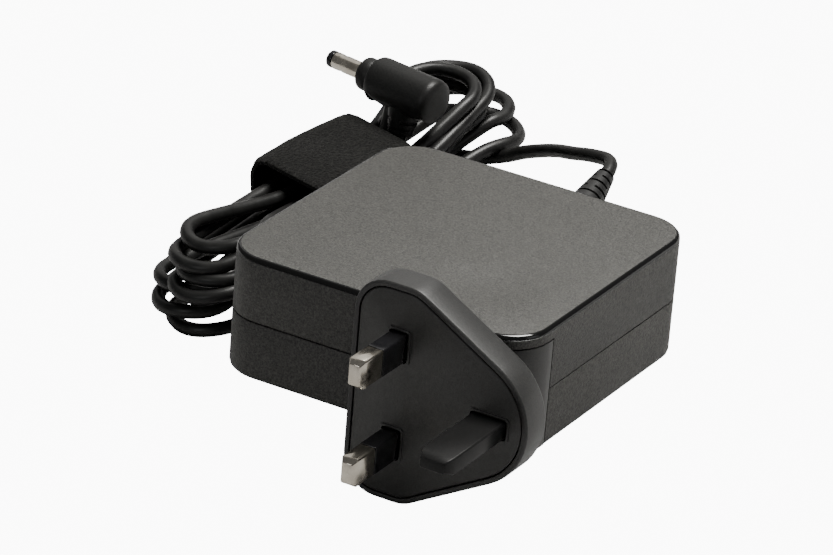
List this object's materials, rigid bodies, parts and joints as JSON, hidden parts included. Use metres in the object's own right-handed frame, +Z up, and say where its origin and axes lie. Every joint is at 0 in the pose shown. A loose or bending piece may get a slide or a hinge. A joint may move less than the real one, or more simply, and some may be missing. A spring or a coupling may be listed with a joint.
{
  "type": "laptop power adapter",
  "caption": "Square laptop power adapter with a slide-off wall plug head, a strapped bundle of output cable and a right-angle barrel plug.",
  "frame": {"origin": "on the floor, under the centre of the bounding box of the case and plug head, without the cable", "axes": "+Z up; +Y from the pins towards the cable side; +X along the case towards the earth pin. The case leans 9.26 degrees about X, so its cable side is the lower one"},
  "size_m": [0.1149, 0.1663, 0.0497],
  "materials": {
    "shell_black": "fine-grain matte moulding",
    "plug_black": "smooth satin moulding",
    "gloss_black": "polished moulding",
    "nickel": "bright nickel plate",
    "brass": "plain rolled brass",
    "cable_black": "smooth satin elastomer",
    "strap_black": "hook-and-loop cloth",
    "label_grey": "printed film left blank",
    "board_green": "solder-masked laminate",
    "sheet_amber": "polyimide film",
    "ferrite": "sintered ferrite",
    "winding": "taped winding",
    "can_sleeve": "shrunk sleeve",
    "moulded_black": "moulded epoxy",
    "sink_aluminium": "mill finish",
    "film_yellow": "film capacitor case",
    "disc_blue": "dipped ceramic",
    "choke_wire": "enamelled copper wire",
    "wire_red": "insulated wire"
  },
  "bodies": {
    "adapter": {"upper_shell": "shell_black", "lower_shell": "shell_black", "rating_label": "label_grey", "main_board": "board_green", "insulation_sheet": "sheet_amber", "transformer_core": "ferrite", "transformer_coil": "winding", "bulk_capacitor": "can_sleeve", "output_capacitor_1": "can_sleeve", "output_capacitor_2": "can_sleeve", "fuse": "moulded_black", "input_choke": "choke_wire", "output_choke": "choke_wire", "x_capacitor": "film_yellow", "y_capacitor": "disc_blue", "bridge_rectifier": "moulded_black", "optocoupler": "moulded_black", "controller_chip": "moulded_black", "switching_transistor": "moulded_black", "rectifier_diode": "moulded_black", "primary_heat_sink": "sink_aluminium", "secondary_heat_sink": "sink_aluminium", "live_contact": "brass", "neutral_contact": "brass", "output_wire_positive": "wire_red", "output_wire_negative": "cable_black", "strain_relief": "cable_black", "cable_lead": "cable_black", "cable_hank": "cable_black", "cable_strap": "strap_black", "dc_plug_body": "cable_black", "dc_barrel": "nickel", "dc_tip_insulator": "gloss_black", "dc_centre_contact": "brass"},
    "plug_head": {"plug_housing": "plug_black", "plug_face": "plug_black", "live_pin": "nickel", "neutral_pin": "nickel", "live_sleeve": "gloss_black", "neutral_sleeve": "gloss_black", "earth_pin": "gloss_black", "live_terminal": "brass", "neutral_terminal": "brass"}
  },
  "joints": [
    {"name": "plug_slide", "type": "slide", "parent": "adapter", "child": "plug_head", "axis": [0, -0.987, 0.1609], "range_m": [0, 0.02]}
  ]
}
